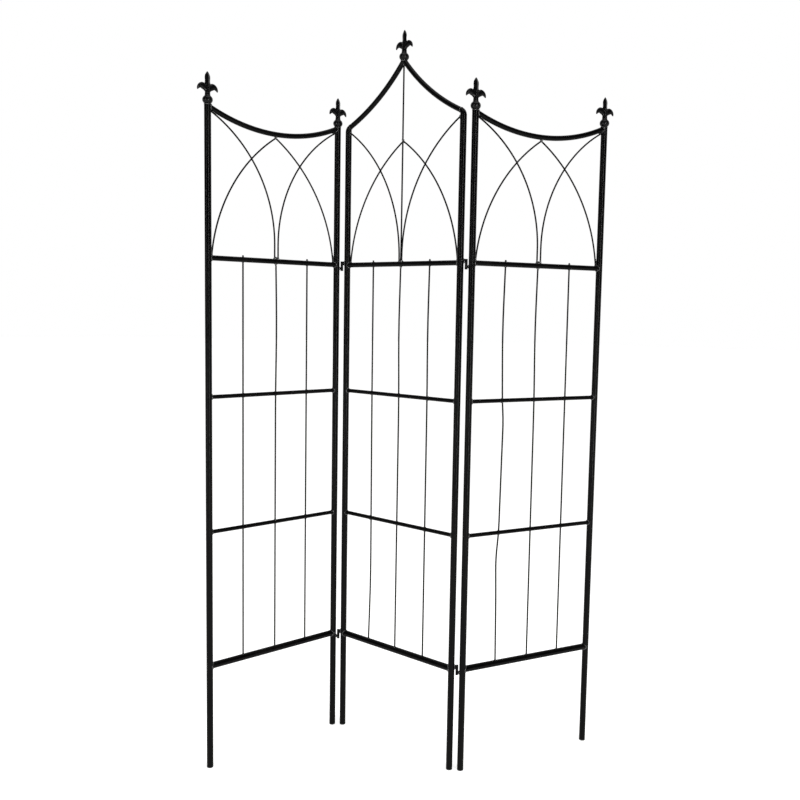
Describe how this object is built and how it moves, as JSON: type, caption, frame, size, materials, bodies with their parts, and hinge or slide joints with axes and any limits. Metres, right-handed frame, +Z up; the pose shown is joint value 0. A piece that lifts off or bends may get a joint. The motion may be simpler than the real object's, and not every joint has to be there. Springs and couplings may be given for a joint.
{
  "type": "folding trellis",
  "caption": "Free-standing folding garden trellis of welded steel panels with arched tops, an interlaced gothic tier, a pointed crown, spear finials and pintle hinges.",
  "frame": {"origin": "middle of the outer box in plan, on the ground under the feet, with the panels standing zigzag as pictured", "axes": "+X along the zigzag from the left panel to the right one, +Y away from the viewer, +Z up; the posts and hinge axes run along +Z"},
  "size_m": [0.9858, 0.299, 1.8022],
  "materials": {
    "frame_paint": "gloss black enamel on welded steel",
    "plug_plastic": "matt black moulded plastic"
  },
  "bodies": {
    "left_panel": {"left_upper_rail": "frame_paint", "left_second_rail": "frame_paint", "left_third_rail": "frame_paint", "left_bottom_rail": "frame_paint", "left_upright_1": "frame_paint", "left_upright_2": "frame_paint", "left_upright_3": "frame_paint", "left_centre_arc_left": "frame_paint", "left_post_arc_left": "frame_paint", "left_centre_arc_right": "frame_paint", "left_post_arc_right": "frame_paint", "left_foot_plugs": "plug_plastic", "left_inner_post": "frame_paint", "left_inner_finial": "frame_paint", "left_outer_post": "frame_paint", "left_outer_finial": "frame_paint", "left_arch": "frame_paint", "left_hinge_pins": "frame_paint"},
    "middle_panel": {"middle_upper_rail": "frame_paint", "middle_second_rail": "frame_paint", "middle_third_rail": "frame_paint", "middle_bottom_rail": "frame_paint", "middle_upright_1": "frame_paint", "middle_upright_2": "frame_paint", "middle_upright_3": "frame_paint", "middle_centre_arc_left": "frame_paint", "middle_post_arc_left": "frame_paint", "middle_centre_arc_right": "frame_paint", "middle_post_arc_right": "frame_paint", "middle_foot_plugs": "plug_plastic", "middle_left_post": "frame_paint", "middle_left_crown_limb": "frame_paint", "middle_left_hinge_eyes": "frame_paint", "middle_right_post": "frame_paint", "middle_right_crown_limb": "frame_paint", "middle_right_hinge_eyes": "frame_paint", "middle_finial": "frame_paint"},
    "right_panel": {"right_upper_rail": "frame_paint", "right_second_rail": "frame_paint", "right_third_rail": "frame_paint", "right_bottom_rail": "frame_paint", "right_upright_1": "frame_paint", "right_upright_2": "frame_paint", "right_upright_3": "frame_paint", "right_centre_arc_left": "frame_paint", "right_post_arc_left": "frame_paint", "right_centre_arc_right": "frame_paint", "right_post_arc_right": "frame_paint", "right_foot_plugs": "plug_plastic", "right_inner_post": "frame_paint", "right_inner_finial": "frame_paint", "right_outer_post": "frame_paint", "right_outer_finial": "frame_paint", "right_arch": "frame_paint", "right_hinge_pins": "frame_paint"}
  },
  "joints": [
    {"name": "left_hinge", "type": "hinge", "parent": "middle_panel", "child": "left_panel", "pos_m": [-0.18924, 0.1299, 0], "axis": [0, 0, 1], "range_deg": [-83.2, 96.8]},
    {"name": "right_hinge", "type": "hinge", "parent": "middle_panel", "child": "right_panel", "pos_m": [0.12927, -0.10407, 0], "axis": [0, 0, 1], "range_deg": [-68.7, 111.3]}
  ]
}
